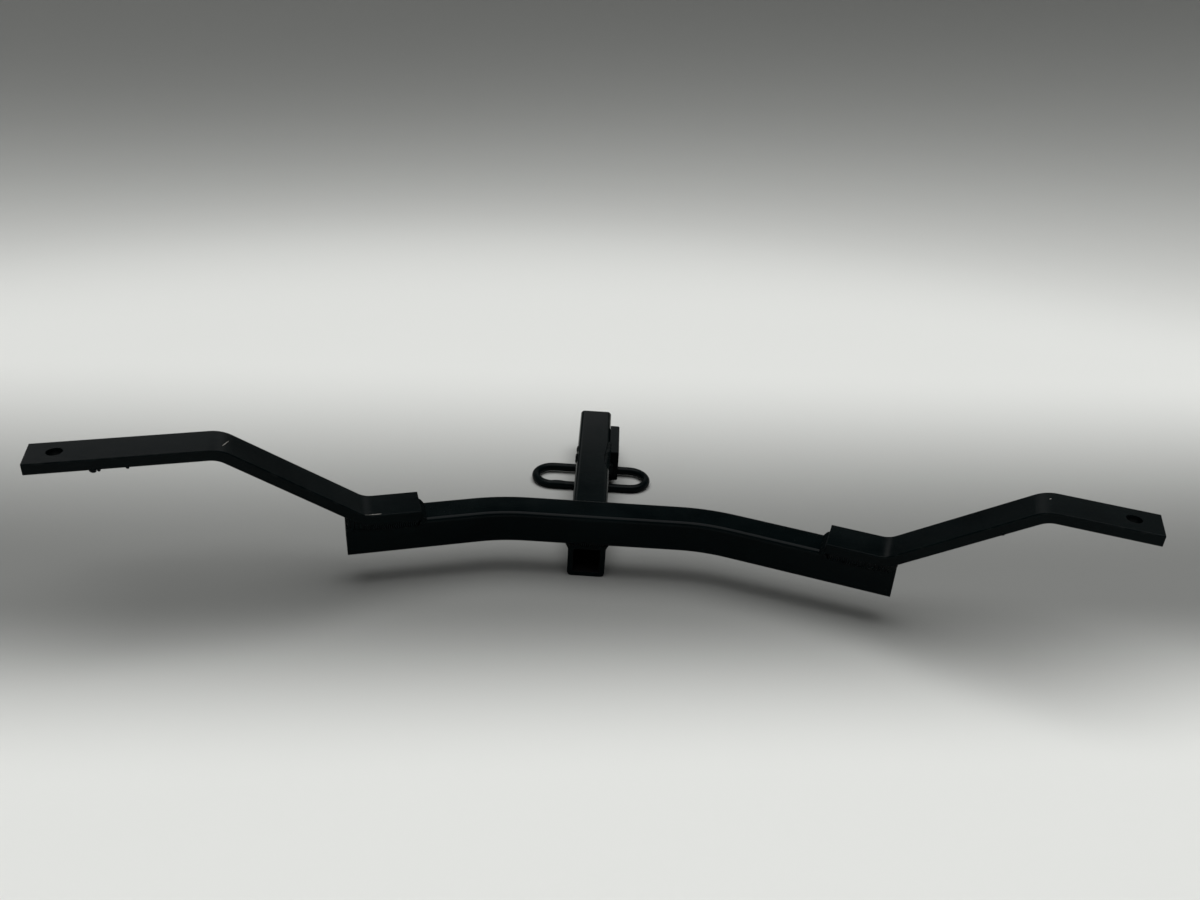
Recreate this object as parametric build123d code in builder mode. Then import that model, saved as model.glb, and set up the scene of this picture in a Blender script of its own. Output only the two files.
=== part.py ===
from build123d import *
from math import atan2, cos, radians, sin, sqrt, tan
import os

# Class I receiver hitch, welded from tube, flat bar and round rod.
# Millimetres. The origin is the centre of the hitch-pin hole. +Y points out of the receiver's mouth,
# to the rear of the vehicle, +X is to the right of someone who looks that way, and +Z is up.

# Receiver tube: square tube that takes a 1-1/4 inch ball mount
receiver_side = 44.45
socket_side = 32.0
receiver_length = 350.0
receiver_corner = 6.0
socket_corner = 1.6
pin_hole_diameter = 13.5
pin_to_mouth = 25.4

# Cross tube: square tube bent forwards at two places
cross_side = 40.0
cross_wall = 3.0
cross_corner = 5.5
cross_ahead_of_receiver = 2.5
cross_bend_radius = 200.0
left_bend_x = 103.0
right_bend_x = 137.5
left_outer_length = 178.5
right_outer_length = 220.0

# Bolt holes that hang the hitch from the vehicle's frame rails
left_bolt_x = 539.0
right_bolt_x = 549.0
bolt_ahead_of_cross = 132.5
bolt_hole_diameter = 16.0
bolt_to_bar_end = 27.0

# Arms: flat bar bent up off the ends of the cross tube
bar_width = 44.45
bar_thickness = 12.7
bar_edge = 1.0
bar_bend_radius = 32.0
bar_rise = 98.0
bar_slope = 34.5
left_overlap = 83.5
right_overlap = 79.0
left_bend_from_end = 19.5
right_bend_from_end = 10.0

# Safety-chain loop: round rod bent to a closed ring under the receiver
rod_diameter = 11.1
loop_length = 165.0
loop_width = 60.0
loop_offset = -1.5
loop_from_front = 242.0

# Side block: off-cut of flat bar on the receiver's right wall
block_thickness = 12.7
block_height = 44.0
block_length = 77.5
block_edge = 2.5
block_from_front = 228.8

# Weld beads. Their angles on a tube's corner or on the rod are counted from the top of it.
weld_leg = 6.0
inner_weld_leg = 6.5
short_leg = 3.0
lap_leg = 2.0
weld_crown = 1.0
weld_inset = 4.0
wedge_height = 13.5
corner_fill = 2.5
root_angle = 30.0
root_gap = 0.5
rod_heel_angle = 80.0
block_weld_ahead = 24.0
block_weld_behind = 28.0
block_weld_proud = 2.5
block_weld_low_angle = 60.0
block_weld_high_angle = 10.0
block_end_weld_top = 6.0

# Places worked out from the sizes above
receiver_half = receiver_side / 2
mouth_y = pin_to_mouth
front_y = mouth_y - receiver_length
receiver_flat = receiver_half - receiver_corner
cross_half = cross_side / 2
cross_flat = cross_half - cross_corner
cross_front_y = front_y - cross_ahead_of_receiver
cross_y = cross_front_y + cross_half
cross_z = receiver_half + cross_half
arm_z = receiver_half + cross_side
bolt_y = cross_y - bolt_ahead_of_cross
bolt_z = arm_z + bar_rise + bar_thickness
rod_radius = rod_diameter / 2
loop_y = front_y + loop_from_front
block_front_y = front_y + block_from_front
block_rear_y = block_front_y + block_length

os.makedirs("parts", exist_ok=True)


def save(solid, name):
    solid.label = name
    export_step(solid, f"parts/{name}.step")


def on_circle(centre_u, centre_v, radius, angle):
    """Point on a circle, with the angle counted from straight up towards +u."""
    turn = radians(angle)
    return (centre_u + radius * sin(turn), centre_v + radius * cos(turn))


class Side:
    """One end of the cross tube: its bend, its direction and the arm that lies on it."""

    def __init__(self, name, sign, bend_x, outer_length, overlap, bend_from_end, bolt_x):
        self.name = name
        self.sign = sign
        self.bolt = (sign * bolt_x, bolt_y, bolt_z)
        self.bend = (sign * bend_x, cross_y)
        sweep_angle = atan2(bolt_ahead_of_cross, bolt_x - bend_x)
        self.out = (sign * cos(sweep_angle), -sin(sweep_angle), 0)
        self.end = (self.bend[0] + self.out[0] * outer_length, cross_y + self.out[1] * outer_length)
        self.overlap = overlap
        self.bend_from_end = bend_from_end
        # Distance along the bar's line from the cross tube's end to the bolt hole
        self.bolt_run = (bolt_x - bend_x) / cos(sweep_angle) - outer_length

    def side_plane(self):
        """Upright plane through the tube's axis: x runs outwards from the tube's end, y is up."""
        return Plane(
            origin=(self.end[0], self.end[1], arm_z),
            x_dir=self.out,
            z_dir=(self.out[1], -self.out[0], 0),
        )


left = Side("left", -1, left_bend_x, left_outer_length, left_overlap, left_bend_from_end, left_bolt_x)
right = Side("right", 1, right_bend_x, right_outer_length, right_overlap, right_bend_from_end, right_bolt_x)

# Receiver tube, with the pin hole through both walls near its mouth
with BuildPart() as receiver_tube:
    with BuildSketch(Plane.XZ.offset(-mouth_y)):
        RectangleRounded(receiver_side, receiver_side, receiver_corner)
        RectangleRounded(socket_side, socket_side, socket_corner, mode=Mode.SUBTRACT)
    extrude(amount=receiver_length)
    with Locations(Plane.YZ):
        Hole(radius=pin_hole_diameter / 2)
save(receiver_tube.part, "receiver_tube")

# Cross tube, one length of square tube with a bend each side of the receiver
with BuildPart() as cross_tube:
    with BuildLine(Plane.XY.offset(cross_z)) as cross_route:
        FilletPolyline(left.end, left.bend, right.bend, right.end, radius=cross_bend_radius)
    with BuildSketch(Plane(origin=cross_route.line @ 0, x_dir=(0, 0, 1), z_dir=cross_route.line % 0)):
        RectangleRounded(cross_side, cross_side, cross_corner)
        inner_side = cross_side - 2 * cross_wall
        RectangleRounded(inner_side, inner_side, cross_corner - cross_wall, mode=Mode.SUBTRACT)
    sweep(path=cross_route.line)
save(cross_tube.part, "cross_tube")


def make_arm(side):
    """Flat bar that lies on the cross tube's end, climbs and runs level to its bolt hole."""
    half = bar_thickness / 2
    slope = radians(bar_slope)
    shift = half * tan(slope / 2)
    first_bend = -side.bend_from_end - shift
    second_bend = first_bend + bar_rise / tan(slope)
    bar_end = side.bolt_run + bolt_to_bar_end
    side_plane = side.side_plane()
    with BuildPart() as arm:
        with BuildLine(side_plane) as route:
            FilletPolyline(
                (-side.overlap, half),
                (first_bend, half),
                (second_bend, bar_rise + half),
                (bar_end, bar_rise + half),
                radius=bar_bend_radius,
            )
        with BuildSketch(Plane(origin=route.line @ 0, x_dir=side_plane.z_dir, z_dir=route.line % 0)) as bar:
            Rectangle(bar_width, bar_thickness)
            chamfer(bar.vertices(), length=bar_edge)
        sweep(path=route.line)
        with Locations(side.bolt):
            Hole(radius=bolt_hole_diameter / 2)
    return arm.part


left_arm = make_arm(left)
right_arm = make_arm(right)
save(left_arm, "left_arm")
save(right_arm, "right_arm")

# Safety-chain loop, level under the receiver and touching its bottom wall: two straight strands
# and a half turn at each end
loop_z = -receiver_half - rod_radius
loop_bend = loop_width / 2 - rod_radius
loop_reach = loop_length / 2 - rod_radius - loop_bend
near_strand = (loop_y - loop_bend, loop_z)
far_strand = (loop_y + loop_bend, loop_z)
with BuildPart() as chain_loop:
    with BuildSketch(Plane.YZ.offset(loop_offset)):
        with Locations(near_strand, far_strand):
            Circle(rod_radius)
    extrude(amount=loop_reach, both=True)
    for sign in (-1, 1):
        bend_x = loop_offset + sign * loop_reach
        with BuildSketch(Plane.YZ.offset(bend_x)):
            with Locations(near_strand):
                Circle(rod_radius)
        revolve(axis=Axis((bend_x, loop_y, 0), (0, 0, sign)), revolution_arc=180)
save(chain_loop.part, "chain_loop")

# Side block, flat against the receiver's right wall and level with its top
with BuildPart() as side_block:
    with BuildSketch(Plane.XZ.offset(-block_front_y)):
        with Locations((receiver_half, receiver_half)):
            Rectangle(block_thickness, block_height, align=(Align.MIN, Align.MAX))
    extrude(amount=-block_length)
    fillet(side_block.edges().filter_by(Axis.Y).group_by(Axis.X)[-1], radius=block_edge)
save(side_block.part, "side_block")


def corner_bead(name, plane, corner_u, corner_v, corner_radius, toe, leg, start, length):
    """Bead in the groove between a flat face, at v = 0, and a rounded tube corner below it."""
    root = on_circle(corner_u, corner_v, corner_radius, root_angle)
    side_u = corner_u + corner_radius
    middle = on_circle(corner_u, corner_v, corner_radius, (root_angle + 90) / 2)
    heel = (side_u, corner_v - leg)
    crown = ((toe + side_u) / 2 + weld_crown, (corner_v - leg) / 2 - weld_crown / 2)
    with BuildPart() as bead:
        with BuildSketch(plane.offset(start)):
            with BuildLine():
                Polyline(root, (root[0], 0), (toe, 0))
                ThreePointArc((toe, 0), crown, heel)
                if leg > 0:
                    Line(heel, (side_u, corner_v))
                ThreePointArc((side_u, corner_v), middle, root)
            make_face()
        extrude(amount=length)
    save(bead.part, name)


# Beads that join the cross tube to the receiver, along the receiver's rounded top corners
seat_plane = Plane(origin=(0, cross_y - cross_flat, receiver_half), x_dir=(-1, 0, 0), z_dir=(0, 1, 0))
mirror_plane = Plane(origin=(0, cross_y + cross_flat, receiver_half), x_dir=(1, 0, 0), z_dir=(0, -1, 0))
for name, plane in (("receiver_weld_left", seat_plane), ("receiver_weld_right", mirror_plane)):
    corner_bead(
        name,
        plane,
        receiver_flat,
        -receiver_corner,
        receiver_corner,
        receiver_half + weld_leg,
        lap_leg,
        0,
        2 * cross_flat,
    )

# Beads across the receiver's flat top, under the cross tube's rounded rear and front corners
with BuildPart() as receiver_weld_rear:
    root = (cross_flat + cross_corner * sin(radians(root_angle)), cross_corner * (1 - cos(radians(root_angle))))
    middle = on_circle(cross_flat, cross_corner, cross_corner, 180 - (root_angle + 90) / 2)
    toe = (cross_half + weld_leg, 0)
    heel = (cross_half, cross_corner)
    with BuildSketch(Plane(origin=(0, cross_y, receiver_half), x_dir=(0, 1, 0), z_dir=(1, 0, 0))):
        with BuildLine():
            Polyline(root, (root[0], 0), toe)
            ThreePointArc(toe, ((toe[0] + heel[0]) / 2 + weld_crown, heel[1] / 2 + weld_crown), heel)
            ThreePointArc(heel, middle, root)
        make_face()
    extrude(amount=receiver_flat, both=True)
save(receiver_weld_rear.part, "receiver_weld_rear")

with BuildPart() as receiver_weld_front:
    lip = (-cross_half + cross_ahead_of_receiver, 0)
    root = (-root[0], root[1])
    middle = (-middle[0], middle[1])
    heel = (-cross_half, cross_corner)
    toe = (lip[0], -short_leg)
    with BuildSketch(Plane(origin=(0, cross_y, receiver_half), x_dir=(0, 1, 0), z_dir=(1, 0, 0))):
        with BuildLine():
            Polyline(toe, lip, (root[0], 0), root)
            ThreePointArc(root, middle, heel)
            ThreePointArc(heel, ((toe[0] + heel[0]) / 2 - weld_crown, (toe[1] + heel[1]) / 2), toe)
        make_face()
    extrude(amount=receiver_flat, both=True)
save(receiver_weld_front.part, "receiver_weld_front")


def make_arm_welds(side, arm):
    """Beads round the arm's seat on the cross tube: both edges, the inner end and the wedge."""
    side_plane = side.side_plane()
    outer_radius = bar_bend_radius + bar_thickness / 2
    lift_off = -side.bend_from_end - outer_radius * tan(radians(bar_slope / 2))
    seat_length = lift_off + side.overlap - weld_inset
    toe = bar_width / 2 - bar_edge
    outward = Plane(
        origin=side_plane.from_local_coords((-side.overlap + weld_inset, 0, 0)),
        x_dir=-side_plane.z_dir,
        z_dir=side_plane.x_dir,
    )
    inward = Plane(
        origin=side_plane.from_local_coords((lift_off, 0, 0)),
        x_dir=side_plane.z_dir,
        z_dir=-side_plane.x_dir,
    )
    edge_names = ("rear", "front") if side.sign < 0 else ("front", "rear")
    for edge, plane in zip(edge_names, (inward, outward)):
        corner_bead(
            f"{side.name}_arm_weld_{edge}",
            plane,
            cross_flat,
            -cross_corner,
            cross_corner,
            toe,
            0,
            0,
            seat_length,
        )

    # The fill below the seat is less deep than the tube's wall, so that it only wraps the corners
    with BuildPart() as inner_bead:
        heel_u = -side.overlap
        toe_u = heel_u - inner_weld_leg
        bulge = inner_weld_leg / 2 + weld_crown / 2
        with BuildSketch(side_plane):
            with BuildLine():
                Polyline(
                    (heel_u, inner_weld_leg),
                    (heel_u, -corner_fill),
                    (toe_u, -corner_fill),
                    (toe_u, 0),
                )
                ThreePointArc((toe_u, 0), (heel_u - bulge, bulge), (heel_u, inner_weld_leg))
            make_face()
        extrude(amount=cross_half, both=True)
        add(cross_tube.part, mode=Mode.SUBTRACT)
    save(inner_bead.part, f"{side.name}_arm_weld_inner")

    with BuildPart() as wedge_bead:
        start = lift_off + sqrt(2 * outer_radius * root_gap)
        height = min(wedge_height, side.bend_from_end * tan(radians(bar_slope)) - root_gap)
        with BuildSketch(side_plane):
            with BuildLine():
                Polyline((0, height), (start, root_gap), (start, -corner_fill), (0, -corner_fill), (0, 0))
                ThreePointArc((0, 0), (weld_crown, height / 2), (0, height))
            make_face()
        extrude(amount=cross_half, both=True)
        add(arm, mode=Mode.SUBTRACT)
        add(cross_tube.part, mode=Mode.SUBTRACT)
    save(wedge_bead.part, f"{side.name}_arm_weld_wedge")


make_arm_welds(left, left_arm)
make_arm_welds(right, right_arm)

# Beads along both sides of each strand of the chain loop, on the receiver's flat bottom
for strand, strand_y in (("front", near_strand[0]), ("rear", far_strand[0])):
    for way, sign in (("ahead", -1), ("behind", 1)):
        with BuildPart() as loop_weld:
            root = on_circle(0, -rod_radius, rod_radius, root_angle)
            middle = on_circle(0, -rod_radius, rod_radius, (root_angle + rod_heel_angle) / 2)
            heel = on_circle(0, -rod_radius, rod_radius, rod_heel_angle)
            toe = (rod_radius + short_leg, 0)
            crown = ((toe[0] + heel[0]) / 2 + weld_crown / 2, heel[1] / 2 - weld_crown / 2)
            strand_plane = Plane(
                origin=(0, strand_y, -receiver_half),
                x_dir=(0, sign, 0),
                z_dir=(sign, 0, 0),
            )
            with BuildSketch(strand_plane):
                with BuildLine():
                    Polyline(root, (root[0], 0), toe)
                    ThreePointArc(toe, crown, heel)
                    ThreePointArc(heel, middle, root)
                make_face()
            extrude(amount=receiver_flat, both=True)
        save(loop_weld.part, f"loop_weld_{strand}_{way}")

# Beads that hold the side block: one along the receiver's top corner, which starts ahead of the
# block, and one up each end of the block
with BuildPart() as block_weld_top:
    groove_mid_angle = (block_weld_low_angle + block_weld_high_angle) / 2
    groove_low = on_circle(receiver_flat, receiver_flat, receiver_corner, block_weld_low_angle)
    groove_high = on_circle(receiver_flat, receiver_flat, receiver_corner, block_weld_high_angle)
    groove_middle = on_circle(receiver_flat, receiver_flat, receiver_corner, groove_mid_angle)
    proud = on_circle(receiver_flat, receiver_flat, receiver_corner + block_weld_proud, groove_mid_angle)
    lap = (receiver_half + lap_leg, receiver_half)
    block_front_plane = Plane.XZ.offset(-block_front_y)
    with BuildSketch(block_front_plane):
        with BuildLine():
            Polyline(groove_low, (receiver_half, groove_low[1]), (receiver_half, receiver_half), lap)
            ThreePointArc(lap, (receiver_half - lap_leg, receiver_half + weld_crown), groove_high)
            ThreePointArc(groove_high, groove_middle, groove_low)
        make_face()
    extrude(amount=-block_weld_behind)
    with BuildSketch(block_front_plane):
        with BuildLine():
            ThreePointArc(groove_low, proud, groove_high)
            ThreePointArc(groove_high, groove_middle, groove_low)
        make_face()
    extrude(amount=block_weld_ahead)
save(block_weld_top.part, "block_weld_top")

for end, end_y, way in (("front", block_front_y, -1), ("rear", block_rear_y, 1)):
    with BuildPart() as block_weld:
        corner = (receiver_half, end_y)
        toe = (receiver_half, end_y + way * weld_leg)
        heel = (receiver_half + weld_leg, end_y)
        bulge = weld_leg / 2 + weld_crown / 2
        with BuildSketch(Plane.XY.offset(-receiver_flat)):
            with BuildLine():
                Polyline(heel, corner, toe)
                ThreePointArc(toe, (receiver_half + bulge, end_y + way * bulge), heel)
            make_face()
        extrude(amount=receiver_flat + block_end_weld_top)
    save(block_weld.part, f"block_weld_{end}")
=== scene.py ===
import random
from math import asin, atan2, cos, pi, radians, sin

import bmesh
import bpy
import numpy
from mathutils import Matrix, Vector


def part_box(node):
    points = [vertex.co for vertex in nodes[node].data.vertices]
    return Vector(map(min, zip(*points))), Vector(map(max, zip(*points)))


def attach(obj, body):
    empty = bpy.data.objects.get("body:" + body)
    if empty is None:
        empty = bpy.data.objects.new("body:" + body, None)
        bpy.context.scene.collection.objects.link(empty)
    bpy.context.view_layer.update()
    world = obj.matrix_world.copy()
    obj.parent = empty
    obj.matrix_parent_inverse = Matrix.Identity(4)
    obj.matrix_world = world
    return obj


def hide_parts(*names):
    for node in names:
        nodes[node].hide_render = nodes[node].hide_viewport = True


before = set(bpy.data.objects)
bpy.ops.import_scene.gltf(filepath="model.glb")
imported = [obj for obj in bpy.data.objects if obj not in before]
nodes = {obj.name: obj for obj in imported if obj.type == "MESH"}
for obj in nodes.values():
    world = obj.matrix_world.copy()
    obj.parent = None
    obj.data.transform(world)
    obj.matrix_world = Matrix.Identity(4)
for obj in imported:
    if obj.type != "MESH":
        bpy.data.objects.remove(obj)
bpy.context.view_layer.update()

# Class I receiver hitch in black chassis enamel: painted square tube, flat bar, round rod and weld beads.
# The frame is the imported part's: the origin is the hitch-pin hole, +Y is out of the receiver's mouth, +X is
# to the right of someone who looks that way, and +Z is up. Blender works in metres. The sizes and places
# below are in millimetres, unless their comment gives another unit.

MM = 0.001
sides = ("left", "right")
x_axis, y_axis, z_axis = Vector((1, 0, 0)), Vector((0, 1, 0)), Vector((0, 0, 1))

# Camera
lens = 30.9
sensor_width = 36.0
camera_place = (4.8, -1328.9, 704.1)
camera_pitch = radians(28.863)
camera_roll = radians(3.670)
camera_yaw = radians(0.179)


def new_object(name, data):
    """An object that holds the data, linked to the scene."""
    made = bpy.data.objects.new(name, data)
    bpy.context.scene.collection.objects.link(made)
    return made


def camera():
    """The photograph's view: above the near side of the hitch, tipped a little to the left."""
    data = bpy.data.cameras.new("camera")
    data.lens = lens
    data.sensor_width = sensor_width
    made = new_object("camera", data)
    turn = Matrix.Rotation(-camera_yaw, 4, "Z") @ Matrix.Rotation(pi / 2 - camera_pitch, 4, "X")
    place = Matrix.Translation(Vector(camera_place) * MM)
    made.matrix_world = place @ turn @ Matrix.Rotation(camera_roll, 4, "Z")
    bpy.context.scene.camera = made


camera()
bpy.context.scene.view_settings.view_transform = "Standard"

# Sockets of a Mix node that mixes two colours
SHARE, COLOUR_A, COLOUR_B = 0, 6, 7


def colour(code):
    """Linear colour of an sRGB hex value."""
    parts = [int(code[i:i + 2], 16) / 255 for i in (1, 3, 5)]
    return [p / 12.92 if p <= 0.04045 else ((p + 0.055) / 1.055) ** 2.4 for p in parts] + [1.0]


def add(tree, kind, inputs=None, **settings):
    """Adds one shader node, with its settings, and its input values or links by name or number.

    A node that is given as an input stands for its first output in use.
    """
    made = tree.nodes.new("ShaderNode" + kind)
    for name, value in settings.items():
        setattr(made, name, value)
    for name, value in (inputs or {}).items():
        if isinstance(value, bpy.types.Node):
            value = next(output for output in value.outputs if output.enabled)
        if isinstance(value, bpy.types.NodeSocket):
            tree.links.new(value, made.inputs[name])
        else:
            made.inputs[name].default_value = value
    return made


def new_material(name):
    """An empty material and its tree."""
    made = bpy.data.materials.new(name)
    made.use_nodes = True
    made.node_tree.nodes.clear()
    return made, made.node_tree


def noise_scale(size):
    """Scale of a noise texture whose features are about that many millimetres across."""
    return 1 / (size * MM)


# Black chassis enamel, and what lies on it or shows through
thick_coat = colour("#020607")
thin_coat = colour("#040a0b")
dust_grey = colour("#7d7a72")
rubbed_grey = colour("#4a4a48")
bare_steel = colour("#86847f")
bore_coat = colour("#08080a")
bore_rust = colour("#0e0b09")

# How far across its features are
coat_patch = 70.0
speck = 0.7
drift = 45.0
rubbed_patch = 9.0
rolled_grain = 3.5
chip_grain = 1.2
bore_patch = 6.0

# Height of the rolled grain, radius of the soft and of the rubbed edges, thickness of the coat, and how far
# from a bore's wall the bore's own coat starts and ends
grain_height = 0.04
paint_edge = 0.9
rubbed_edge = 1.4
coat_thickness = 0.12
bore_within = 0.2
bore_beyond = 0.4

# Width of the rolled grain to its length, how ragged a chip is, and the part of it that is quite bare
grain_narrowing = 0.05
chip_ragged = (0.5, 1.4)
chip_core = 0.6

# Shares of full strength, and how far thin and thick spray stray from a coat's own roughness
dust_strength = 0.07
rubbed_strength = 0.15
rubbed_dulling = 0.12
bore_dulling = 0.4
smoother_spray = 0.04
rougher_spray = 0.05

# Samples of each rounded edge
edge_samples = 6

# The photograph shows almost no gloss on faces that look at the camera, so most of the paint's is held back
paint_specular = 0.04
paint_ior = 1.5

# Half the width of the receiver's socket
receiver_bore = 16.0

# Brings a chip to its full width where it is widest, two thirds along
fullest = 2.6

# Chips and scratches: start, end and width
arm_chips = {
    "left": (
        ((-382.0, -383.0, 167.3), (-383.4, -403.0, 170.6), 0.5),
        ((-248.0, -373.6, 77.0), (-238.6, -367.4, 75.0), 0.6),
        ((-243.5, -369.9, 75.4), (-230.2, -365.6, 74.9), 0.7),
    ),
    "right": (((472.8, -408.6, 172.6), (476.8, -407.4, 172.3), 0.9),),
}


def sprayed_surface(tree, place, peel, peel_height, grain_turn):
    """Normal of the sprayed coat: soft edges, orange peel and, along a bar, the steel's rolled grain."""
    # Orange peel, coarser than life so that it shows
    cells = add(tree, "TexNoise", {"Vector": place, "Scale": noise_scale(peel), "Detail": 3.0})
    soft_edge = add(tree, "Bevel", {"Radius": paint_edge * MM}, samples=edge_samples)
    surface = add(tree, "Bump", {"Height": cells, "Distance": peel_height * MM, "Normal": soft_edge})
    if grain_turn is None:
        return surface
    turned = add(
        tree,
        "Mapping",
        {"Vector": place, "Rotation": (0, 0, -grain_turn), "Scale": (grain_narrowing, 1, 1)},
    )
    grain = add(tree, "TexNoise", {"Vector": turned, "Scale": noise_scale(rolled_grain), "Detail": 4.0})
    return add(tree, "Bump", {"Height": grain, "Distance": grain_height * MM, "Normal": surface})


def dust_mask(tree, place, flat):
    """How much dust lies at a point: fine specks in drifts, only on what faces up."""
    facing = add(tree, "SeparateXYZ", {0: flat}).outputs["Z"]
    upward = add(tree, "MapRange", {"Value": facing, "From Min": 0.55, "From Max": 0.95})
    fine = add(tree, "TexNoise", {"Vector": place, "Scale": noise_scale(speck), "Detail": 2.0})
    specks = add(tree, "MapRange", {"Value": fine, "From Min": 0.58, "From Max": 0.74})
    broad = add(tree, "TexNoise", {"Vector": place, "Scale": noise_scale(drift), "Detail": 3.0})
    drifts = add(
        tree,
        "MapRange",
        {"Value": broad, "From Min": 0.40, "From Max": 0.70, "To Max": dust_strength},
    )
    lying = add(tree, "Math", {0: upward, 1: specks}, operation="MULTIPLY")
    return add(tree, "Math", {0: lying, 1: drifts}, operation="MULTIPLY")


def rubbed_mask(tree, place, flat):
    """1 in patches along the edges, where the coat is rubbed dull."""
    wide_edge = add(tree, "Bevel", {"Radius": rubbed_edge * MM}, samples=edge_samples)
    same = add(tree, "VectorMath", {0: flat, 1: wide_edge}, operation="DOT_PRODUCT")
    edges = add(tree, "MapRange", {"Value": same, "From Min": 0.995, "From Max": 0.93})
    uneven = add(tree, "TexNoise", {"Vector": place, "Scale": noise_scale(rubbed_patch), "Detail": 4.0})
    patches = add(tree, "MapRange", {"Value": uneven, "From Min": 0.50, "From Max": 0.68})
    return add(tree, "Math", {0: edges, 1: patches}, operation="MULTIPLY")


def chip_mask(tree, place, start, end, width):
    """1 inside a ragged chip, all in millimetres. It widens from its thin start and closes at its end."""
    tip = Vector(start) * MM
    span = Vector(end) * MM - tip
    offset = add(tree, "VectorMath", {0: place, 1: tip}, operation="SUBTRACT")
    along = add(tree, "VectorMath", {0: offset, 1: span / span.length_squared}, operation="DOT_PRODUCT")
    held = add(tree, "Clamp", {"Value": along})
    reached = add(tree, "VectorMath", {0: span, "Scale": held}, operation="SCALE")
    gap = add(tree, "VectorMath", {0: offset, 1: reached}, operation="DISTANCE")
    rest = add(tree, "Math", {0: 1.0, 1: held}, operation="SUBTRACT")
    closing = add(tree, "Math", {0: rest, 1: 0.5}, operation="POWER")
    swelling = add(tree, "Math", {0: held, 1: closing}, operation="MULTIPLY")
    taper = add(tree, "Math", {0: swelling, 1: fullest * width * MM}, operation="MULTIPLY")
    flakes = add(tree, "TexNoise", {"Vector": place, "Scale": noise_scale(chip_grain), "Detail": 3.0})
    ragged = add(tree, "MapRange", {"Value": flakes, "To Min": chip_ragged[0], "To Max": chip_ragged[1]})
    edge = add(tree, "Math", {0: taper, 1: ragged}, operation="MULTIPLY")
    core = add(tree, "Math", {0: edge, 1: chip_core}, operation="MULTIPLY")
    return add(tree, "MapRange", {"Value": gap, "From Min": edge, "From Max": core})


def bore_mask(tree, place, bore):
    """1 on the walls of a square bore along Y, whose half width is given."""
    within = (bore + bore_within) * MM
    beyond = (bore + bore_beyond) * MM
    mirrored = add(tree, "VectorMath", {0: place}, operation="ABSOLUTE")
    away = add(tree, "SeparateXYZ", {0: mirrored}).outputs
    across = add(tree, "MapRange", {"Value": away["X"], "From Min": beyond, "From Max": within})
    upright = add(tree, "MapRange", {"Value": away["Z"], "From Min": beyond, "From Max": within})
    return add(tree, "Math", {0: across, 1: upright}, operation="MULTIPLY")


def black_enamel(name, peel, peel_height, gloss, grain_turn=None, chips=(), bore=None):
    """Satin black chassis enamel, sprayed on steel: orange peel, fine dust on top, dull worn edges.

    gloss is the roughness of the coat. grain_turn, where given, adds the shallow rolled grain of hot-rolled
    bar, turned to the bar's length. chips go down to bright steel. bore is half the width of a tube's
    inside, where the spray hardly reached.
    """
    material, tree = new_material(name)
    place = add(tree, "TexCoord").outputs["Object"]
    flat = add(tree, "NewGeometry").outputs["Normal"]
    surface = sprayed_surface(tree, place, peel, peel_height, grain_turn)

    # Thick and thin spray, over hand-wide patches
    patch = add(tree, "TexNoise", {"Vector": place, "Scale": noise_scale(coat_patch), "Detail": 5.0})
    thin = add(tree, "MapRange", {"Value": patch, "From Min": 0.35, "From Max": 0.65})
    shown = add(tree, "Mix", {SHARE: thin, COLOUR_A: thick_coat, COLOUR_B: thin_coat}, data_type="RGBA")
    low, high = gloss - smoother_spray, gloss + rougher_spray
    dull = add(
        tree,
        "MapRange",
        {"Value": patch, "From Min": 0.3, "From Max": 0.7, "To Min": low, "To Max": high},
    )

    dust = dust_mask(tree, place, flat)
    shown = add(tree, "Mix", {SHARE: dust, COLOUR_A: shown, COLOUR_B: dust_grey}, data_type="RGBA")

    rubbed = rubbed_mask(tree, place, flat)
    faded = add(tree, "Math", {0: rubbed, 1: rubbed_strength}, operation="MULTIPLY")
    shown = add(tree, "Mix", {SHARE: faded, COLOUR_A: shown, COLOUR_B: rubbed_grey}, data_type="RGBA")
    dull = add(tree, "Math", {0: rubbed, 1: rubbed_dulling, 2: dull}, operation="MULTIPLY_ADD")

    # Chips to the steel, as deep as the coat is thick
    for start, end, width in chips:
        bare = chip_mask(tree, place, start, end, width)
        shown = add(tree, "Mix", {SHARE: bare, COLOUR_A: shown, COLOUR_B: bare_steel}, data_type="RGBA")
        surface = add(
            tree,
            "Bump",
            {"Height": bare, "Distance": coat_thickness * MM, "Normal": surface},
            invert=True,
        )

    if bore is not None:
        inside = bore_mask(tree, place, bore)
        stains = add(tree, "TexNoise", {"Vector": place, "Scale": noise_scale(bore_patch), "Detail": 6.0})
        rusty = add(tree, "MapRange", {"Value": stains, "From Min": 0.45, "From Max": 0.65})
        wall = add(tree, "Mix", {SHARE: rusty, COLOUR_A: bore_coat, COLOUR_B: bore_rust}, data_type="RGBA")
        shown = add(tree, "Mix", {SHARE: inside, COLOUR_A: shown, COLOUR_B: wall}, data_type="RGBA")
        dull = add(tree, "Math", {0: inside, 1: bore_dulling, 2: dull}, operation="MULTIPLY_ADD")

    paint = add(
        tree,
        "BsdfPrincipled",
        {
            "Base Color": shown,
            "Roughness": dull,
            "Normal": surface,
            "IOR": paint_ior,
            "Specular IOR Level": paint_specular,
        },
    )
    add(tree, "OutputMaterial", {"Surface": paint})
    return material


def plan_direction(node):
    """Direction of a bar's length seen from above, outwards from the middle of the hitch."""
    spots = numpy.array([v.co[:2] for v in nodes[node].data.vertices])
    middle = spots.mean(0)
    spread, ways = numpy.linalg.eigh(numpy.cov((spots - middle).T))
    way = Vector((*ways[:, int(spread.argmax())], 0)).normalized()
    return way if way.x * middle[0] > 0 else -way


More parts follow.
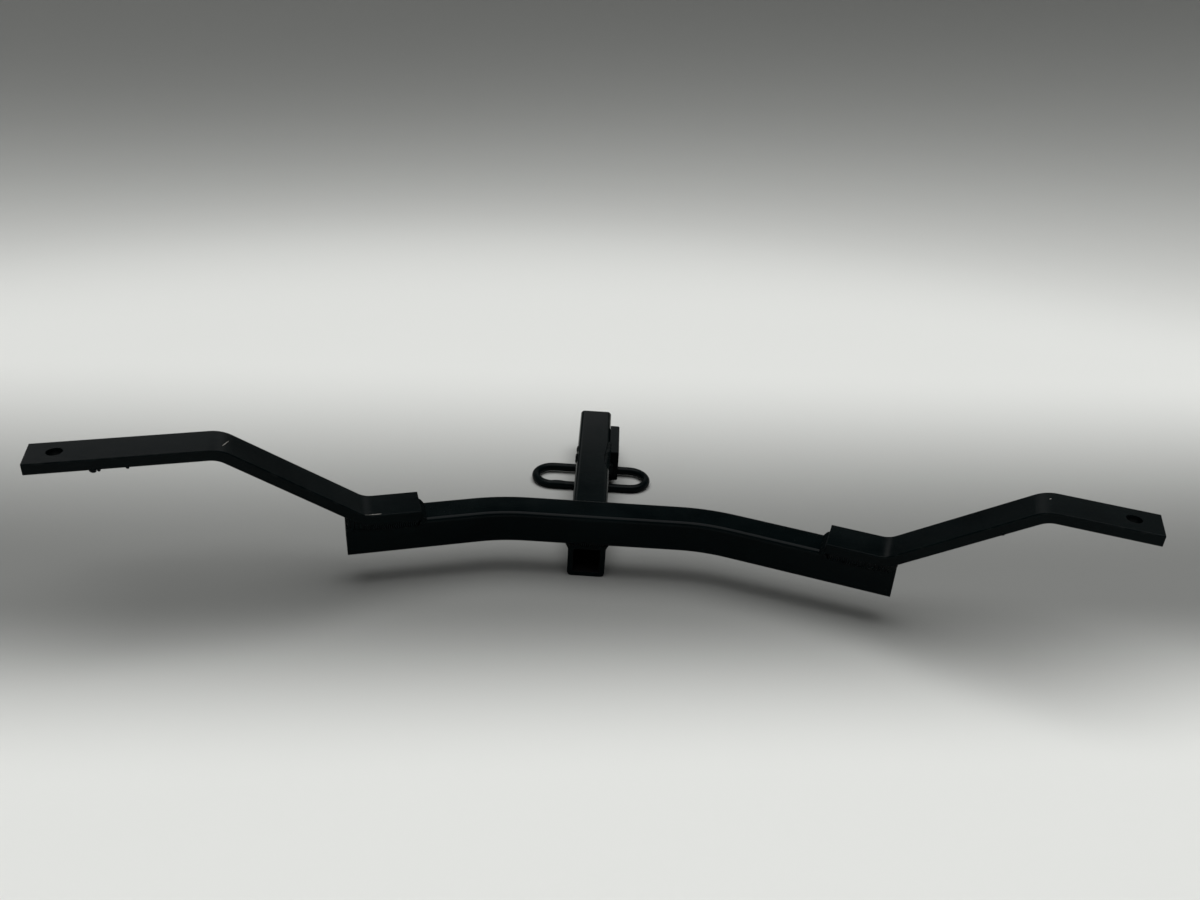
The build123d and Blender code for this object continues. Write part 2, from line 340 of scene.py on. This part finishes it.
def near_side(run):
    """The level direction square to a run, towards the near side of the hitch."""
    across = Vector((-run.y, run.x, 0))
    return across if across.y < 0 else -across


arm_run = {side: plan_direction(f"{side}_arm") for side in sides}
to_front = {side: near_side(arm_run[side]) for side in sides}

on_tube = black_enamel("black_enamel_on_cold_formed_tube", peel=5.0, peel_height=0.035, gloss=0.14)
on_receiver = black_enamel(
    "black_enamel_on_receiver_tube", peel=5.0, peel_height=0.035, gloss=0.14, bore=receiver_bore
)
on_rod = black_enamel("black_enamel_on_round_rod", peel=4.0, peel_height=0.03, gloss=0.30)
on_block = black_enamel("black_enamel_on_sawn_block", peel=3.5, peel_height=0.03, gloss=0.16)
on_weld = black_enamel("black_enamel_on_weld_metal", peel=2.0, peel_height=0.05, gloss=0.30)
on_arm = {}
for side in sides:
    on_arm[side] = black_enamel(
        f"black_enamel_on_{side}_hot_rolled_bar",
        peel=4.5,
        peel_height=0.05,
        gloss=0.18,
        grain_turn=atan2(arm_run[side].y, arm_run[side].x),
        chips=arm_chips[side],
    )

for node, paint in (
    ("receiver_tube", on_receiver),
    ("cross_tube", on_tube),
    ("chain_loop", on_rod),
    ("side_block", on_block),
    ("left_arm", on_arm["left"]),
    ("right_arm", on_arm["right"]),
):
    for held in nodes[node].material_slots:
        held.material = paint

# Distances under this count as nothing
tiny = 1e-6


def smooth_mesh(bm, name):
    """Turns a finished bmesh into a smooth mesh with its doubles merged and its faces outwards."""
    bmesh.ops.remove_doubles(bm, verts=bm.verts, dist=tiny)
    bmesh.ops.recalc_face_normals(bm, faces=bm.faces)
    mesh = bpy.data.meshes.new(name)
    bm.to_mesh(mesh)
    bm.free()
    mesh.shade_smooth()
    return mesh


def finished(bm, name, material, stands_for=()):
    """Turns a finished bmesh into a piece that rides on the hitch."""
    piece = new_object(name, smooth_mesh(bm, name))
    piece.data.materials.append(material)
    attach(piece, "root")
    if stands_for:
        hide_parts(*stands_for)


# Weld beads
ripple_pitch = 2.4
ripple_depth = 0.25
height_spread = 0.2
longest_lean = 1.8

# Shares: how much a bead's width varies, the ripples' lean to its half width, the part of a ripple's depth
# that shows at the toes, how deep a bead sinks to its rise, and the size of its very end to its full size
width_spread = 0.05
ripple_lean = 0.45
toe_ripple = 0.4
bead_sink = 0.04
end_size = 0.08

# Ripples over which a bead's end is rounded, and the power that makes the rounding full
end_ripples = 1.5
end_fullness = 0.6

# Fewest ripples to a bead, rings of corners to a ripple, and corners to a ring
fewest_ripples = 3
ripple_rings = 5
bead_sides = 24


class Station:
    """One cross-section of a weld bead: the root of the joint and the bead's two toes."""

    def __init__(self, root, toe_a, toe_b):
        self.root = Vector(root)
        self.toe_a = Vector(toe_a)
        self.toe_b = Vector(toe_b)
        self.middle = (self.toe_a + self.toe_b) / 2
        self.across = (self.toe_a - self.toe_b) / 2
        self.rise = self.middle - self.root

    def towards(self, other, share):
        """The cross-section at a share of the way to the other."""
        return Station(
            self.root.lerp(other.root, share),
            self.toe_a.lerp(other.toe_a, share),
            self.toe_b.lerp(other.toe_b, share),
        )


def station_at(stations, reach):
    """The cross-section that is reach along the bead, and the bead's direction there."""
    for here, there in zip(stations, stations[1:]):
        length = (there.middle - here.middle).length
        if reach <= length or there is stations[-1]:
            return here.towards(there, min(1.0, reach / length)), (there.middle - here.middle).normalized()
        reach -= length


def bead_profile(bm, crown, lean):
    """Unit cross-section of a bead: the root at the origin, toes at y 1 and a low crown over them."""
    made = bmesh.ops.create_circle(bm, cap_ends=True, segments=bead_sides, radius=1.0)
    for v in made["verts"]:
        if v.co.y >= -tiny:
            v.co.z = v.co.y ** 2 * lean
            v.co.y = 1 + v.co.y ** 2 * crown
        else:
            v.co.y = abs(v.co.x)
    return list({f for v in made["verts"] for f in v.link_faces})


def lay_bead(bm, stations, seed, crown):
    """Lays one rippled bead through the stations, with rounded ends. crown is in millimetres."""
    draw = random.Random(seed)
    total = sum((b.middle - a.middle).length for a, b in zip(stations, stations[1:]))
    ripples = max(fewest_ripples, round(total / (ripple_pitch * MM)))
    rings = ripples * ripple_rings
    widths = [draw.uniform(1 - width_spread, 1 + width_spread) for _ in range(ripples + 2)]
    heights = [draw.uniform(-height_spread, height_spread) for _ in range(ripples + 2)]
    end_share = end_ripples * ripple_pitch * MM / total
    typical = stations[len(stations) // 2]
    lean = min(ripple_lean * typical.across.length, longest_lean * MM)
    faces = bead_profile(bm, crown * MM / typical.rise.length, lean)
    placed = Matrix.Identity(4)
    for ring in range(rings + 1):
        share = ring / rings
        here, way = station_at(stations, share * total)
        ripple, step = divmod(ring, ripple_rings)
        part = step / ripple_rings
        dip = ripple_depth * (2 * part - 1) ** 2
        wide = widths[ripple] * (1 - part) + widths[ripple + 1] * part
        high = heights[ripple] * (1 - part) + heights[ripple + 1] * part - dip
        grown = min(1.0, end_size + (1 - end_size) * min(share, 1 - share) / end_share)
        rounding = sin(grown * pi / 2) ** end_fullness
        across = here.across * (wide - toe_ripple * dip * MM / here.across.length) * rounding
        rise = here.rise * (1 + high * MM / here.rise.length) * rounding
        axes = Matrix((across, rise, way)).transposed().to_4x4()
        target = Matrix.Translation(here.root - here.rise * bead_sink) @ axes
        if ring:
            extruded = bmesh.ops.extrude_face_region(bm, geom=faces)["geom"]
            faces = [g for g in extruded if isinstance(g, bmesh.types.BMFace)]
        corners = list({v for f in faces for v in f.verts})
        bmesh.ops.transform(bm, matrix=target @ placed.inverted(), verts=corners)
        placed = target


# Rounded corner of the cross tube, as in the part
tube_flat = 14.5
tube_corner = 5.5

# How far the bead across each end of the cross tube stays inside that end
end_inset = {"left": 2.4, "right": 1.2}

# A bead's cross-sections, in shares of its half length. They lie close where it may wrap a tube's corners
bead_shares = (-1, -0.92, -0.84, -0.74, 0.74, 0.84, 0.92, 1)

# Share of the corner's drop that the second toe of a wrapping bead follows
second_toe_drop = 0.5


def local_box(node, axes):
    """Lowest and highest reach of a node along three directions."""
    spots = numpy.array([v.co for v in nodes[node].data.vertices]) @ numpy.array([a[:] for a in axes]).T
    return spots.min(0), spots.max(0)


def corner_drop(aside):
    """How far the cross tube's rounded corner has fallen away, aside from the tube's middle."""
    over = min(max(0.0, abs(aside) - tube_flat), tube_corner)
    return tube_corner - (tube_corner ** 2 - over ** 2) ** 0.5


def joint_bead(node, axes, root, toe_a, toe_b, seed, crown=1.0, longer=0.0, wraps=False):
    """A rippled bead in place of a straight CAD bead.

    axes are its run and its two cross directions. root and the toes are millimetres along the cross
    directions from the lowest corner of the node's box. longer is how far each end runs past the box.
    One that wraps lies across the cross tube and follows the tube's rounded corners.
    """
    low, high = local_box(node, axes)
    run, p, q = axes
    half = (high[0] - low[0]) / 2 + longer * MM
    middle = (high[0] + low[0]) / 2

    def spot(aside, offsets, drop):
        reach_q = low[2] + (offsets[1] - drop) * MM
        return run * (middle + aside) + p * (low[1] + offsets[0] * MM) + q * reach_q

    stations = []
    for share in bead_shares:
        aside = share * half
        drop = corner_drop(aside / MM) if wraps else 0.0
        second_toe = spot(aside, toe_b, second_toe_drop * drop)
        stations.append(Station(spot(aside, root, drop), spot(aside, toe_a, drop), second_toe))
    bm = bmesh.new()
    lay_bead(bm, stations, seed, crown)
    finished(bm, f"{node}_rippled", on_weld, (node,))


# Beads between the cross tube and the receiver
joint_bead(
    "receiver_weld_left",
    (y_axis, -x_axis, -z_axis),
    root=(1.0, 0.5),
    toe_a=(7.2, 0),
    toe_b=(3.0, 8.4),
    seed=1,
    crown=0.4,
    longer=3.8,
    wraps=True,
)
joint_bead(
    "receiver_weld_right",
    (y_axis, x_axis, -z_axis),
    root=(1.0, 0.5),
    toe_a=(6.8, 0),
    toe_b=(3.0, 7.2),
    seed=2,
    crown=0.4,
    longer=3.8,
    wraps=True,
)
joint_bead(
    "receiver_weld_rear",
    (x_axis, y_axis, z_axis),
    root=(0.5, 0.3),
    toe_a=(8.5, 0),
    toe_b=(2.75, 5.5),
    seed=3,
)
joint_bead(
    "receiver_weld_front",
    (x_axis, -y_axis, z_axis),
    root=(0, 3.5),
    toe_a=(0.3, 0),
    toe_b=(2.9, 8.6),
    seed=4,
    crown=0.4,
    longer=2.0,
)

# Wedge of weld under an arm's first bend: how far inwards of the CAD wedge its side beads start, how far
# they stop short of its end bead, and how far the tube's top, where they stand, is above the wedge's foot
wedge_start = 7.0
wedge_stop = 1.0
wedge_foot = 2.5

# The bead across the tube's end: where its cross-sections are, the depth of its root, the share of the
# wedge's height that the root has, and the crown
wedge_asides = (-19, -17, -14, 14, 17, 19)
wedge_root_depth = 8.0
wedge_root_height = 0.4
wedge_crown = 0.9

# The beads along the tube's sides: shares of their length that have a cross-section, the power by which they
# grow, their least height, the places of their root and toes from the tube's middle, and the crown
climb_shares = (0, 0.25, 0.5, 0.75, 1)
climb_power = 1.6
least_climb = 0.6
climb_root_aside = 14.0
climb_root_sink = 1.0
climb_top_aside = 20.9
climb_foot_aside = 20.1
climb_foot_drop = 8.0
climb_crown = 0.6


def wedge_beads(side):
    """Weld metal that fills the wedge under the arm's first bend.

    One bead crosses the tube's end, and one along each side of the tube grows taller with the gap.
    """
    node = f"{side}_arm_weld_wedge"
    out, front = arm_run[side], to_front[side]
    low, high = local_box(node, (front, out, z_axis))
    middle = (low[0] + high[0]) / 2
    start = low[1] - wedge_start * MM
    end = high[1] - end_inset[side] * MM
    base = low[2] + wedge_foot * MM
    top = high[2]

    def spot(aside, along, height):
        return front * (middle + aside * MM) + out * along + z_axis * height

    bm = bmesh.new()
    across = []
    for aside in wedge_asides:
        root = spot(aside, end - wedge_root_depth * MM, base + wedge_root_height * (top - base))
        foot = spot(aside, end, base - corner_drop(aside) * MM)
        across.append(Station(root, foot, spot(aside, end, top)))
    lay_bead(bm, across, seed=8, crown=wedge_crown)
    for way, seed in ((-1, 12), (1, 14)):
        climb = []
        for share in climb_shares:
            along = start + (end - wedge_stop * MM - start) * share
            height = base + (top - base) * share ** climb_power + least_climb * MM
            root = spot(way * climb_root_aside, along, (base + height) / 2 - climb_root_sink * MM)
            foot = spot(way * climb_foot_aside, along, base - climb_foot_drop * MM)
            climb.append(Station(root, spot(way * climb_top_aside, along, height), foot))
        lay_bead(bm, climb, seed, climb_crown)
    finished(bm, f"{node}_rippled", on_weld, (node,))


# Beads round the arms' seats on the cross tube
for side in sides:
    out, front = arm_run[side], to_front[side]
    joint_bead(
        f"{side}_arm_weld_inner",
        (front, -out, z_axis),
        root=(0, 2.5),
        toe_a=(6.7, 2.5),
        toe_b=(0, 9.0),
        seed=5,
        crown=0.8,
        wraps=True,
    )
    joint_bead(
        f"{side}_arm_weld_front",
        (out, front, -z_axis),
        root=(0.3, 0.4),
        toe_a=(5.0, -1.6),
        toe_b=(2.8, 8.6),
        seed=6,
        crown=0.5,
        longer=4.0,
    )
    joint_bead(
        f"{side}_arm_weld_rear",
        (out, -front, -z_axis),
        root=(0.3, 0.4),
        toe_a=(5.0, -1.6),
        toe_b=(2.8, 7.4),
        seed=7,
        crown=0.5,
        longer=4.0,
    )
    wedge_beads(side)

# Beads along the chain loop's strands
for strand in ("front", "rear"):
    for way, aside in (("ahead", -y_axis), ("behind", y_axis)):
        joint_bead(
            f"loop_weld_{strand}_{way}",
            (x_axis, aside, -z_axis),
            root=(0.3, 0.4),
            toe_a=(5.7, 0),
            toe_b=(2.7, 4.5),
            seed=9,
            crown=0.6,
        )

# Beads that hold the side block
for end, aside, seed in (("front", -y_axis, 10), ("rear", y_axis, 11)):
    joint_bead(
        f"block_weld_{end}",
        (z_axis, x_axis, aside),
        root=(0, 0),
        toe_a=(6, 0),
        toe_b=(0, 6),
        seed=seed,
    )

# The bead on the receiver's top corner: place along Y, then the root and the two toes in X and Z
block_top_sections = (
    (-142.0, (19.0, 18.8), (17.6, 22.3), (22.4, 18.0)),
    (-129.0, (19.0, 18.8), (16.6, 22.5), (22.6, 18.4)),
    (-122.0, (19.0, 18.6), (15.6, 22.7), (22.8, 19.6)),
    (-112.0, (19.0, 18.6), (15.0, 22.8), (23.4, 20.2)),
    (-100.0, (19.4, 18.8), (15.4, 22.8), (23.8, 20.8)),
    (-94.0, (20.4, 20.0), (16.2, 22.8), (24.4, 22.4)),
    (-86.0, (20.8, 20.4), (17.2, 22.5), (24.4, 22.5)),
    (-68.0, (20.8, 20.4), (18.4, 22.3), (23.8, 22.4)),
)
block_top_crown = 2.0

# Two short beads on the receiver's left wall: a seed, then each end's place along Y and how proud the bead
# is there. Both beads share the wall's place in X, the root in X and Z, the toes' heights and the crown
left_wall_runs = (
    (31, ((-95.5, 0.2), (-77.0, 0.2))),
    (32, ((-122.5, 0.9), (-98.5, 0.6))),
)
left_wall = -22.2
left_root = (-20.5, 17.0)
left_toe_heights = (20.0, 14.0)
left_crown = 1.1


def block_top_bead():
    """The bead on the receiver's top corner, wide ahead of the block and narrow in its groove."""
    stations = []
    for y, *spots in block_top_sections:
        stations.append(Station(*(Vector((x, y, z)) * MM for x, z in spots)))
    bm = bmesh.new()
    lay_bead(bm, stations, seed=12, crown=block_top_crown)
    finished(bm, "block_weld_top_rippled", on_weld, ("block_weld_top",))


def left_wall_beads():
    """Two short beads on the receiver's left wall, near its top."""
    bm = bmesh.new()
    for seed, ends in left_wall_runs:
        stations = []
        for y, proud in ends:
            toes = [(left_wall - proud, z) for z in left_toe_heights]
            stations.append(Station(*(Vector((x, y, z)) * MM for x, z in (left_root, *toes))))
        lay_bead(bm, stations, seed, left_crown)
    finished(bm, "left_wall_beads", on_weld)


# Rounded lumps, each by its centre and its size along X, Y and Z. Paint that ran to the arms' lower front
# edges dried as drips, and a butt weld closes the chain loop
left_drips = (
    ((-498.0, -449.8, 160.2), (8.0, 3.2, 6.0)),
    ((-492.6, -448.2, 160.4), (4.0, 2.6, 4.4)),
    ((-467.0, -440.6, 160.4), (4.0, 2.2, 3.0)),
)
right_drip = ((429.9, -424.2, 136.2), (5.0, 3.0, 4.4))
butt_weld = ((-46.2, -107.0, -27.3), (40.0, 12.0, 12.0))

# Spatter: drops by each arm's seat, how far inwards and aside they lie, and how large they are
spatter_seed = 20
seat_drops = 9
drops_inwards = (7, 34)
drops_aside = (-12, 12)
drop_sizes = (0.6, 1.5)

# Patches of spatter on the receiver's top: drops in each, then reach in X and in Y, and the drops' sizes
receiver_drops = 10
receiver_patches = (
    ((-14, 14), (-278, -262), (0.6, 1.5)),
    ((4, 15), (-124, -72), (0.6, 1.4)),
)


def small_lumps(name, lumps, material):
    """One piece of rounded lumps, each by its centre and size in millimetres."""
    bm = bmesh.new()
    for centre, size in lumps:
        made = bmesh.ops.create_icosphere(bm, subdivisions=3, radius=0.5)["verts"]
        bmesh.ops.scale(bm, verts=made, vec=Vector(size) * MM)
        bmesh.ops.translate(bm, verts=made, vec=Vector(centre) * MM)
    finished(bm, name, material)


def spatter():
    """Drops of weld metal that stuck to the flat tops near the welds."""
    draw = random.Random(spatter_seed)
    tube_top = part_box("cross_tube")[1].z / MM
    receiver_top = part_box("receiver_tube")[1].z / MM
    drops = []
    for side in sides:
        weld_low, weld_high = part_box(f"{side}_arm_weld_inner")
        weld = (weld_low + weld_high) / 2 / MM
        for _ in range(seat_drops):
            inwards = -arm_run[side] * draw.uniform(*drops_inwards)
            aside = to_front[side] * draw.uniform(*drops_aside)
            centre = Vector((weld.x, weld.y, tube_top)) + inwards + aside
            drops.append((centre, [draw.uniform(*drop_sizes)] * 3))
    for across, along, sizes in receiver_patches:
        for _ in range(receiver_drops):
            centre = (draw.uniform(*across), draw.uniform(*along), receiver_top)
            drops.append((centre, [draw.uniform(*sizes)] * 3))
    small_lumps("weld_spatter", drops, on_weld)


block_top_bead()
small_lumps("left_arm_drips", left_drips, on_arm["left"])
small_lumps("right_arm_drips", [right_drip], on_arm["right"])
small_lumps("loop_butt_weld", [butt_weld], on_weld)
left_wall_beads()
spatter()

# Studio sweep, in metres: radius of its flat floor, and of the bend that carries it up into a wall
sweep_flat = 1.7
sweep_bend = 1.1
sweep_turns = 96
bend_steps = 16

# Paper of the sweep: in the light, in painted shade in a band under the hitch, in painted shade where it
# curves up behind the hitch, and in painted shade high on that wall, darker on the left and lighter on the
# right
pale_paper = colour("#e2e3e0")
paper_in_painted_shade_band = colour("#7c7d7b")
wall_in_painted_shade = colour("#7a7b79")
high_wall_painted_shade_left = colour("#575857")
high_wall_painted_shade_right = colour("#929391")

# Slope of the painted shade band seen from above, and how much nearer the wall is aside, for each metre
# squared
band_slope = 0.11
wall_curve = 0.2


def paper_with_painted_shade():
    """Matt pale paper with painted shade: greyer in a soft band under the hitch and where it curves up
    behind.

    Its limits are metres in the hitch's frame.
    """
    material, tree = new_material("matt_pale_paper_with_painted_shade")
    place = add(tree, "TexCoord").outputs["Object"]
    apart = add(tree, "SeparateXYZ", {0: place})
    across, height = apart.outputs["X"], apart.outputs["Z"]
    squared = add(tree, "Math", {0: across, 1: across}, operation="MULTIPLY")
    soft = {"interpolation_type": "SMOOTHSTEP"}

    # The band of painted shade runs level across the picture, so it turns a little from the hitch's own line
    depth = add(tree, "VectorMath", {0: place, 1: (-band_slope, 1, 0)}, operation="DOT_PRODUCT")
    near = add(tree, "MapRange", {"Value": depth, "From Min": -0.37, "From Max": -0.66}, **soft)
    far = add(tree, "MapRange", {"Value": depth, "From Min": -0.31, "From Max": 0.36}, **soft)
    aside = add(tree, "MapRange", {"Value": squared, "From Min": 0.6, "From Max": 2.0}, **soft)
    off_band = add(tree, "Math", {0: near, 1: far}, operation="MAXIMUM")
    outside_painted_shade = add(tree, "Math", {0: off_band, 1: aside}, operation="MAXIMUM")
    ground = add(tree, "Mix", {SHARE: outside_painted_shade, COLOUR_A: paper_in_painted_shade_band, COLOUR_B: pale_paper}, data_type="RGBA")

    # Above the picture the wall behind only shows as a reflection; there it is painted in shade, darker on
    # the left than on the right
    rightward = add(tree, "MapRange", {"Value": across, "From Min": -0.4, "From Max": 0.4}, **soft)
    high = add(tree, "Mix", {SHARE: rightward, COLOUR_A: high_wall_painted_shade_left, COLOUR_B: high_wall_painted_shade_right}, data_type="RGBA")
    upward = add(tree, "MapRange", {"Value": height, "From Min": 0.5, "From Max": 0.75}, **soft)
    behind = add(tree, "Mix", {SHARE: upward, COLOUR_A: wall_in_painted_shade, COLOUR_B: high}, data_type="RGBA")

    # Painted shade on the wall behind, deeper farther back. The wall is round, so the shade starts nearer at
    # the sides
    round_depth = add(tree, "Math", {0: squared, 1: wall_curve, 2: depth}, operation="MULTIPLY_ADD")
    backward = add(tree, "MapRange", {"Value": round_depth, "From Min": 0.68, "From Max": 2.37}, **soft)
    shade = add(tree, "Mix", {SHARE: backward, COLOUR_A: ground, COLOUR_B: behind}, data_type="RGBA")
    matt = add(tree, "BsdfPrincipled", {"Base Color": shade, "Roughness": 0.9, "Specular IOR Level": 0.1})
    add(tree, "OutputMaterial", {"Surface": matt})
    return material


def floor_tilt():
    """The receiver's near lower edge, and the tilt of a floor that touches it and the loop's near strand."""
    receiver_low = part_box("receiver_tube")[0]
    loop_low, loop_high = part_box("chain_loop")
    rod_radius = (loop_high.z - loop_low.z) / 2
    strand_y = loop_low.y + rod_radius
    strand_z = loop_low.z + rod_radius
    run, drop = strand_y - receiver_low.y, strand_z - receiver_low.z
    gap = (run ** 2 + drop ** 2) ** 0.5
    return receiver_low, atan2(drop, run) - asin(rod_radius / gap)


def sweep():
    """A round studio sweep: a flat floor under the hitch that curves up into a wall all round."""
    edge, tilt = floor_tilt()
    bm = bmesh.new()
    path = [bm.verts.new((0, 0, 0))]
    for step in range(bend_steps + 1):
        turn = pi / 2 * step / bend_steps
        path.append(bm.verts.new((sweep_flat + sweep_bend * sin(turn), 0, sweep_bend * (1 - cos(turn)))))
    geom = path + [bm.edges.new(pair) for pair in zip(path, path[1:])]
    bmesh.ops.spin(
        bm, geom=geom, axis=z_axis, cent=(0, 0, 0), angle=2 * pi, steps=sweep_turns, use_merge=True
    )
    bmesh.ops.rotate(bm, verts=bm.verts, matrix=Matrix.Rotation(tilt, 3, "X"))
    bmesh.ops.translate(bm, verts=bm.verts, vec=(0, edge.y, edge.z))
    made = new_object("sweep", smooth_mesh(bm, "sweep"))
    made.data.materials.append(paper_with_painted_shade())


# Lamp overhead: its width and its lean to the near side
lamp_width = radians(62)
lamp_lean = radians(-4)
lamp_energy = 2.8

# Dark room over the sweep, a pale band near the sweep's rim and a darker one under it, on the left and on
# the right
room_dark = colour("#141515")
band_left = colour("#ffffff")
band_right = colour("#7c7d7b")
under_left = colour("#5a5b5a")
under_right = colour("#9c9d9b")


def studio_light():
    """A wide soft lamp overhead, in a dark room with a pale band near the sweep's rim."""
    lamp = bpy.data.lights.new("overhead", "SUN")
    lamp.angle = lamp_width
    lamp.energy = lamp_energy
    holder = new_object("overhead", lamp)
    holder.rotation_euler = (lamp_lean, 0, 0)

    world = bpy.data.worlds.new("studio")
    bpy.context.scene.world = world
    world.use_nodes = True
    tree = world.node_tree
    tree.nodes.clear()

    # Parts of a unit direction: to the right and up
    way = add(tree, "SeparateXYZ", {0: add(tree, "TexCoord").outputs["Generated"]})
    aside, up = way.outputs["X"], way.outputs["Z"]
    right = add(tree, "MapRange", {"Value": aside, "From Min": -0.1, "From Max": 0.5})
    band = add(tree, "Mix", {SHARE: right, COLOUR_A: band_left, COLOUR_B: band_right}, data_type="RGBA")
    right = add(tree, "MapRange", {"Value": aside, "From Min": -0.1, "From Max": 0.2})
    under = add(tree, "Mix", {SHARE: right, COLOUR_A: under_left, COLOUR_B: under_right}, data_type="RGBA")
    in_band = add(tree, "MapRange", {"Value": up, "From Min": 0.33, "From Max": 0.44})
    low = add(tree, "Mix", {SHARE: in_band, COLOUR_A: under, COLOUR_B: band}, data_type="RGBA")
    over_band = add(tree, "MapRange", {"Value": up, "From Min": 0.46, "From Max": 0.505})
    room = add(tree, "Mix", {SHARE: over_band, COLOUR_A: low, COLOUR_B: room_dark}, data_type="RGBA")
    background = add(tree, "Background", {"Color": room})
    add(tree, "OutputWorld", {"Surface": background})


sweep()
studio_light()
